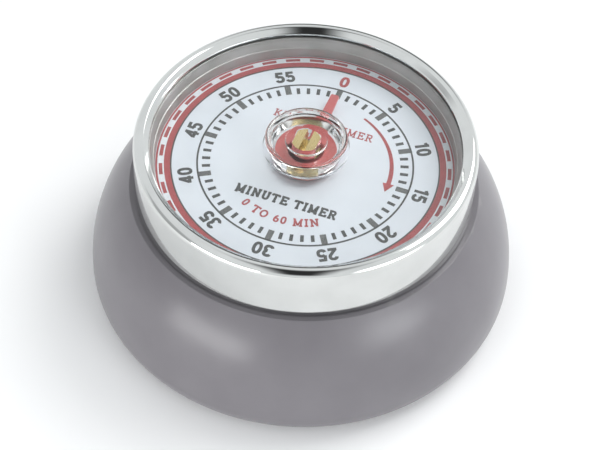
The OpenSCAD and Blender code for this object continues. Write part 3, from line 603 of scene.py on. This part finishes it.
def printed(name, cells, low, high, ink):
    """Thin raised layer of ink over the union of all the cells."""
    cells = [cell if signed_area(cell) > 0 else cell[::-1] for cell in map(list, cells)]
    corners = [corner for cell in cells for corner in cell]
    faces, start = [], 0
    for cell in cells:
        faces.append(list(range(start, start + len(cell))))
        start += len(cell)
    points, _, found, _, _, sources = delaunay_2d_cdt(corners, [], faces, 1, 1e-5)
    triangles = [triangle for triangle, source in zip(found, sources) if source]
    mesh = bmesh.new()
    top = [mesh.verts.new((p.x * MM, p.y * MM, high * MM)) for p in points]
    under = [mesh.verts.new((p.x * MM, p.y * MM, low * MM)) for p in points]
    sides = {(t[k - 1], t[k]) for t in triangles for k in range(len(t))}
    for t in triangles:
        mesh.faces.new([top[i] for i in t])
        mesh.faces.new([under[i] for i in reversed(t)])
    for a, b in sides:
        if (b, a) not in sides:
            mesh.faces.new((top[b], top[a], under[a], under[b]))
    bmesh.ops.recalc_face_normals(mesh, faces=mesh.faces)
    return piece(name, mesh, "case", ink)


def make_dial_print(inks):
    low, high = DIAL_Z - 0.01, DIAL_Z + 0.03
    r, tick_r, numeral_r = DIAL_CIRCLE_R, 16.3, 19.4
    minutes = [a for a in range(0, 360, 6) if a % 30]
    fives = range(0, 360, 30)
    numerals, zero = [], []
    for angle in fives:
        foot = at_angle(angle, numeral_r)
        along = at_angle(angle + 90, 1)
        word = lettering(str(angle // 6), 2.5, 0.225, on_line(foot, along), squeeze=1.15, gap=0.1)
        (numerals if angle else zero).extend(word)
    fine = sector(r - 0.16, r + 0.16) + sector(BAND_R[0] - 0.24, BAND_R[0] + 0.02)
    printed("dial_circle", fine, low, high, inks["ink_black"])
    printed("dial_minute_ticks", [tick(a, tick_r, 17.7, 0.6) for a in minutes], low, high, inks["ink_black"])
    five_ticks = [tick(a, tick_r, r - 0.12, 1.04) for a in fives]
    printed("dial_five_minute_ticks", five_ticks, low, high, inks["ink_grey"])
    printed("dial_numerals", numerals, low, high, inks["ink_black"])
    printed("dial_zero", zero, low, high, inks["ink_red"])
    printed("dial_red_band", sector(*BAND_R), low, high, inks["ink_red"])
    rails = sector(24.17, 24.42) + sector(25.05, 25.28)
    rungs = [cell for a in range(0, 360, 10) for cell in sector(24.3, 25.15, a - 2, a + 2, 1)]
    printed("dial_band_ladder", rails + rungs, high - 0.02, high + 0.02, inks["ink_white"])
    arrow = sector((14.6, 14.4), (14.97, 15.2), 24.4, 88) + [
        [at_angle(88, 13.8), at_angle(88, 15.8), at_angle(95.4, 14.8)]]
    printed("dial_arrow", arrow, low, high, inks["ink_red"])
    words = lettering("MINUTE TIMER", 1.8, 0.235, on_line(Vector((0, -10.4)), Vector((1, 0))), gap=0.13)
    printed("dial_words", words, low, high, inks["ink_black"])
    red_words = lettering("0 TO 60 MIN", 1.6, 0.2, on_arc(14.4, 180), gap=0.2, squeeze=1.1)
    printed("dial_range_words", red_words, low, high, inks["ink_red"])
    upper_words = lettering("KITCHEN TIMER", 1.7, 0.14, on_line(Vector((0, 8.5)), Vector((1, 0))), gap=0.12)
    printed("dial_upper_words", upper_words, low, high, inks["ink_red"])


# ---- CAD nodes that stay ----

SLOT_OF_NODE = {
    "lens_gasket": "black_rubber", "dial_plate": "dial_white", "back_cover": "back_plastic",
    "cover_screws": "screw_steel", "magnets": "magnet_nickel", "gong_post": "pillar_steel",
    "gong": "gong_steel", "gong_nut": "nut_brass", "front_plate": "plate_brass",
    "back_plate": "plate_brass", "pillars": "pillar_steel", "pillar_nuts": "screw_steel",
    "movement_screws": "screw_steel", "shaft_bush": "nut_brass", "spring_post": "pillar_steel",
    "mainspring": "spring_steel", "hairspring": "spring_steel", "hairspring_stud": "nut_brass",
    "pointer": "pointer_red", "main_arbor": "shaft_brass", "arbor_clip": "spring_steel",
    "trip_cam": "lever_steel", "ratchet_wheel": "lever_steel", "main_wheel": "wheel_brass",
    "click_pawl": "lever_steel", "click_rivet": "arbor_steel", "click_spring": "spring_steel",
    "second_wheel": "wheel_brass", "second_arbor": "arbor_steel", "third_wheel": "wheel_brass",
    "third_arbor": "arbor_steel", "escape_wheel": "wheel_brass", "escape_arbor": "arbor_steel",
    "pallet_lever": "lever_steel", "pallet_pins": "arbor_steel", "pallet_arbor": "arbor_steel",
    "balance_wheel": "wheel_brass", "balance_staff": "arbor_steel", "impulse_pin": "arbor_steel",
    "strike_wheel": "lever_steel", "strike_arbor": "arbor_steel", "hammer_arbor": "arbor_steel",
    "hammer_arm": "lever_steel", "hammer_head": "nut_brass", "hammer_pallet": "lever_steel",
    "trip_lever": "lever_steel",
}
SOFTENED = {"main_arbor": 0.08, "pointer": 0.06, "back_cover": 0.12, "cover_screws": 0.08, "magnets": 0.1}


def finish_nodes(finishes):
    for name, slot in SLOT_OF_NODE.items():
        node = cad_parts[name]
        node.data.materials.clear()
        node.data.materials.append(finishes[slot])
        if name in SOFTENED:
            bevel = node.modifiers.new("edges", "BEVEL")
            bevel.width = SOFTENED[name] * MM
            bevel.segments = 2
            bevel.limit_method = "ANGLE"
            bevel.angle_limit = math.radians(40)


# ---- floor and light ----

def make_floor():
    mesh = bmesh.new()
    bmesh.ops.create_grid(mesh, x_segments=1, y_segments=1, size=3)
    data = bpy.data.meshes.new("floor")
    mesh.to_mesh(data)
    mesh.free()
    white = surface("floor", (0.92, 0.92, 0.92), (0.95, 0.95, 0.95), (0.6, 0.8), size=60, relief=0)
    data.materials.append(white)
    floor = bpy.data.objects.new("floor", data)
    scene.collection.objects.link(floor)


def lamp(name, place, size, power, aim=(0, 0, 20)):
    """Soft rectangular lamp that faces a point on the object."""
    light = bpy.data.lights.new(name, "AREA")
    light.shape = "RECTANGLE"
    light.size, light.size_y = [s * MM for s in size]
    light.energy = power
    made = bpy.data.objects.new(name, light)
    scene.collection.objects.link(made)
    made.location = Vector(place) * MM
    made.rotation_euler = (Vector(aim) - Vector(place)).to_track_quat("-Z", "Y").to_euler()


def calculate(tree, operation, *values):
    node = tree.nodes.new("ShaderNodeMath")
    node.operation = operation
    for socket, value in zip(node.inputs, values):
        if isinstance(value, bpy.types.NodeSocket):
            tree.links.new(value, socket)
        else:
            socket.default_value = value
    return node.outputs[0]


def panel(tree, side, rise, place, half, soft):
    """1 inside a soft-edged panel of the sky and 0 outside it, all in degrees."""
    share = 1
    for angle, middle, extent, edge in zip((side, rise), place, half, soft):
        off = calculate(tree, "ABSOLUTE", calculate(tree, "SUBTRACT", angle, middle))
        node = tree.nodes.new("ShaderNodeMapRange")
        node.interpolation_type = "SMOOTHSTEP"
        node.inputs["From Min"].default_value = extent + edge
        node.inputs["From Max"].default_value = max(0, extent - edge)
        tree.links.new(off, node.inputs["Value"])
        share = calculate(tree, "MULTIPLY", node.outputs["Result"], share)
    return share


# Parts of the studio round the object: its angle to the right of the middle, its rise from the
# horizon on the camera's side over the zenith, half sizes, soft edges, and how much light is added
PANELS = (
    ((0, 66), (12, 38), (8, 14), -0.96),
    ((6, 158), (14, 12), (8, 5), -0.9),
    ((50, 19), (15, 14), (9, 9), 6.5),
    ((-72, 60), (16, 62), (8, 16), -0.45),
)


def make_sky():
    """Bright white room with a few darker and brighter panels, which the shiny parts mirror."""
    world = bpy.data.worlds.new("studio")
    scene.world = world
    world.use_nodes = True
    tree = world.node_tree
    nodes, links = tree.nodes, tree.links
    direction = nodes.new("ShaderNodeTexCoord").outputs["Generated"]
    turn = nodes.new("ShaderNodeVectorRotate")
    turn.rotation_type = "Z_AXIS"
    turn.inputs["Angle"].default_value = -math.atan2(scene.camera.location.x, -scene.camera.location.y)
    parts = nodes.new("ShaderNodeSeparateXYZ")
    links.new(direction, turn.inputs["Vector"])
    links.new(turn.outputs["Vector"], parts.inputs["Vector"])
    x, y, z = parts.outputs
    side = calculate(tree, "DEGREES", calculate(tree, "ARCSINE", x))
    rise = calculate(tree, "DEGREES", calculate(tree, "ARCTAN2", z, calculate(tree, "MULTIPLY", y, -1)))
    light = 1
    for place, half, soft, gain in PANELS:
        share = panel(tree, side, rise, place, half, soft)
        light = calculate(tree, "ADD", light, calculate(tree, "MULTIPLY", share, gain))
    background = nodes["Background"]
    background.inputs["Color"].default_value = (0.96, 0.985, 1, 1)
    links.new(light, background.inputs["Strength"])


finishes = make_finishes()
make_camera()
make_turned(finishes)
make_dial_print(make_inks())
finish_nodes(finishes)
make_floor()
make_sky()
lamp("key", (300, 420, 600), (450, 450), 3)
lamp("low", (-76, -185, 28), (140, 50), 0.15, aim=(0, 0, 28))
scene.view_settings.view_transform = "Standard"
